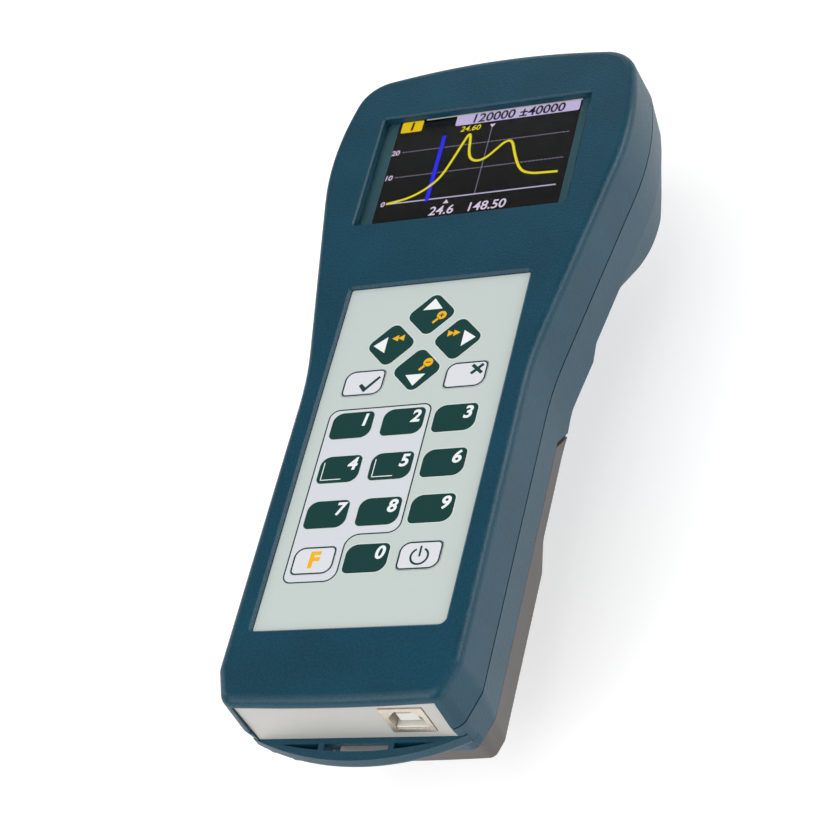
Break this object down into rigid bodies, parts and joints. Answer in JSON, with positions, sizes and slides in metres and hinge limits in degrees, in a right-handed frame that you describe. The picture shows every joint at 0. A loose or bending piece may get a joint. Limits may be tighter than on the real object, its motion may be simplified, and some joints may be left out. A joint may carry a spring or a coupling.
{
  "type": "antenna analyzer",
  "caption": "Hand-held antenna analyzer with a waisted blue case, colour display, film keypad, round antenna connector, data socket and lift-off battery door.",
  "frame": {"origin": "middle of the bounding box in the plane that the back of the case lies on", "axes": "+X across the case to the right as its face is read, +Y along the case from the lip to the antenna connector, +Z out of its face"},
  "size_m": [0.0964, 0.2322, 0.04],
  "materials": {
    "case_plastic": "fine-grained petrol blue moulding",
    "door_plastic": "fine-grained warm grey moulding",
    "seal_rubber": "black foam rubber",
    "panel_film": "warm light grey printed film on a stiff plate",
    "lens_clear": "clear acrylic with a painted border behind it",
    "display_glass": "dark laminated display glass",
    "tinned_steel": "tinned sheet",
    "white_plastic": "white moulding",
    "circuit_board": "green solder mask on glass fibre",
    "black_plastic": "black moulding",
    "screw_steel": "zinc plated",
    "black_screw": "blackened steel",
    "spring_steel": "bright spring strip",
    "overlay_film": "pale grey polyester film",
    "dark_key": "dark green printed film key",
    "light_key": "pale printed film key",
    "contact_brass": "gold plated",
    "plated_brass": "nickel plated brass",
    "cell_can": "labelled round cell"
  },
  "bodies": {
    "case": {"antenna_connector_body": "plated_brass", "antenna_connector_contact": "contact_brass", "antenna_connector_insulator": "white_plastic", "antenna_connector_nut": "plated_brass", "antenna_connector_washer": "spring_steel", "antenna_link": "contact_brass", "board_chips": "black_plastic", "board_link": "black_plastic", "board_screws": "screw_steel", "buzzer": "black_plastic", "case_screws": "black_screw", "cell_1": "cell_can", "cell_2": "cell_can", "cell_3": "cell_can", "cell_contacts": "spring_steel", "data_socket_contacts": "contact_brass", "data_socket_shell": "tinned_steel", "data_socket_tongue": "white_plastic", "display_board": "circuit_board", "display_frame": "tinned_steel", "display_glass": "display_glass", "display_lens": "lens_clear", "display_light": "white_plastic", "display_link": "black_plastic", "display_screws": "screw_steel", "door_seal": "seal_rubber", "front_shell": "case_plastic", "key_domes": "spring_steel", "keypad_board": "circuit_board", "keypad_overlay": "overlay_film", "keypad_screws": "screw_steel", "lower_panel": "panel_film", "main_board": "circuit_board", "rear_shell": "case_plastic", "shield_can": "tinned_steel", "upper_panel": "panel_film"},
    "door": {"battery_door": "door_plastic"},
    "up_button": {"up_key": "dark_key"},
    "down_button": {"down_key": "dark_key"},
    "left_button": {"left_key": "dark_key"},
    "right_button": {"right_key": "dark_key"},
    "confirm_button": {"confirm_key": "light_key"},
    "cancel_button": {"cancel_key": "light_key"},
    "digit_0_button": {"digit_0_key": "dark_key"},
    "digit_1_button": {"digit_1_key": "dark_key"},
    "digit_2_button": {"digit_2_key": "dark_key"},
    "digit_3_button": {"digit_3_key": "dark_key"},
    "digit_4_button": {"digit_4_key": "dark_key"},
    "digit_5_button": {"digit_5_key": "dark_key"},
    "digit_6_button": {"digit_6_key": "dark_key"},
    "digit_7_button": {"digit_7_key": "dark_key"},
    "digit_8_button": {"digit_8_key": "dark_key"},
    "digit_9_button": {"digit_9_key": "dark_key"},
    "function_button": {"function_key": "light_key"},
    "power_button": {"power_key": "light_key"}
  },
  "joints": [
    {"name": "door_release", "type": "slide", "parent": "case", "child": "door", "axis": [0, 0, -1], "range_m": [0, 0.03]},
    {"name": "up_press", "type": "slide", "parent": "case", "child": "up_button", "axis": [0, 0, -1], "range_m": [0, 0.0003], "stiffness_N_per_m": 1500, "springref_m": -0.0003},
    {"name": "down_press", "type": "slide", "parent": "case", "child": "down_button", "axis": [0, 0, -1], "range_m": [0, 0.0003], "stiffness_N_per_m": 1500, "springref_m": -0.0003},
    {"name": "left_press", "type": "slide", "parent": "case", "child": "left_button", "axis": [0, 0, -1], "range_m": [0, 0.0003], "stiffness_N_per_m": 1500, "springref_m": -0.0003},
    {"name": "right_press", "type": "slide", "parent": "case", "child": "right_button", "axis": [0, 0, -1], "range_m": [0, 0.0003], "stiffness_N_per_m": 1500, "springref_m": -0.0003},
    {"name": "confirm_press", "type": "slide", "parent": "case", "child": "confirm_button", "axis": [0, 0, -1], "range_m": [0, 0.0003], "stiffness_N_per_m": 1500, "springref_m": -0.0003},
    {"name": "cancel_press", "type": "slide", "parent": "case", "child": "cancel_button", "axis": [0, 0, -1], "range_m": [0, 0.0003], "stiffness_N_per_m": 1500, "springref_m": -0.0003},
    {"name": "digit_0_press", "type": "slide", "parent": "case", "child": "digit_0_button", "axis": [0, 0, -1], "range_m": [0, 0.0003], "stiffness_N_per_m": 1500, "springref_m": -0.0003},
    {"name": "digit_1_press", "type": "slide", "parent": "case", "child": "digit_1_button", "axis": [0, 0, -1], "range_m": [0, 0.0003], "stiffness_N_per_m": 1500, "springref_m": -0.0003},
    {"name": "digit_2_press", "type": "slide", "parent": "case", "child": "digit_2_button", "axis": [0, 0, -1], "range_m": [0, 0.0003], "stiffness_N_per_m": 1500, "springref_m": -0.0003},
    {"name": "digit_3_press", "type": "slide", "parent": "case", "child": "digit_3_button", "axis": [0, 0, -1], "range_m": [0, 0.0003], "stiffness_N_per_m": 1500, "springref_m": -0.0003},
    {"name": "digit_4_press", "type": "slide", "parent": "case", "child": "digit_4_button", "axis": [0, 0, -1], "range_m": [0, 0.0003], "stiffness_N_per_m": 1500, "springref_m": -0.0003},
    {"name": "digit_5_press", "type": "slide", "parent": "case", "child": "digit_5_button", "axis": [0, 0, -1], "range_m": [0, 0.0003], "stiffness_N_per_m": 1500, "springref_m": -0.0003},
    {"name": "digit_6_press", "type": "slide", "parent": "case", "child": "digit_6_button", "axis": [0, 0, -1], "range_m": [0, 0.0003], "stiffness_N_per_m": 1500, "springref_m": -0.0003},
    {"name": "digit_7_press", "type": "slide", "parent": "case", "child": "digit_7_button", "axis": [0, 0, -1], "range_m": [0, 0.0003], "stiffness_N_per_m": 1500, "springref_m": -0.0003},
    {"name": "digit_8_press", "type": "slide", "parent": "case", "child": "digit_8_button", "axis": [0, 0, -1], "range_m": [0, 0.0003], "stiffness_N_per_m": 1500, "springref_m": -0.0003},
    {"name": "digit_9_press", "type": "slide", "parent": "case", "child": "digit_9_button", "axis": [0, 0, -1], "range_m": [0, 0.0003], "stiffness_N_per_m": 1500, "springref_m": -0.0003},
    {"name": "function_press", "type": "slide", "parent": "case", "child": "function_button", "axis": [0, 0, -1], "range_m": [0, 0.0003], "stiffness_N_per_m": 1500, "springref_m": -0.0003},
    {"name": "power_press", "type": "slide", "parent": "case", "child": "power_button", "axis": [0, 0, -1], "range_m": [0, 0.0003], "stiffness_N_per_m": 1500, "springref_m": -0.0003}
  ]
}
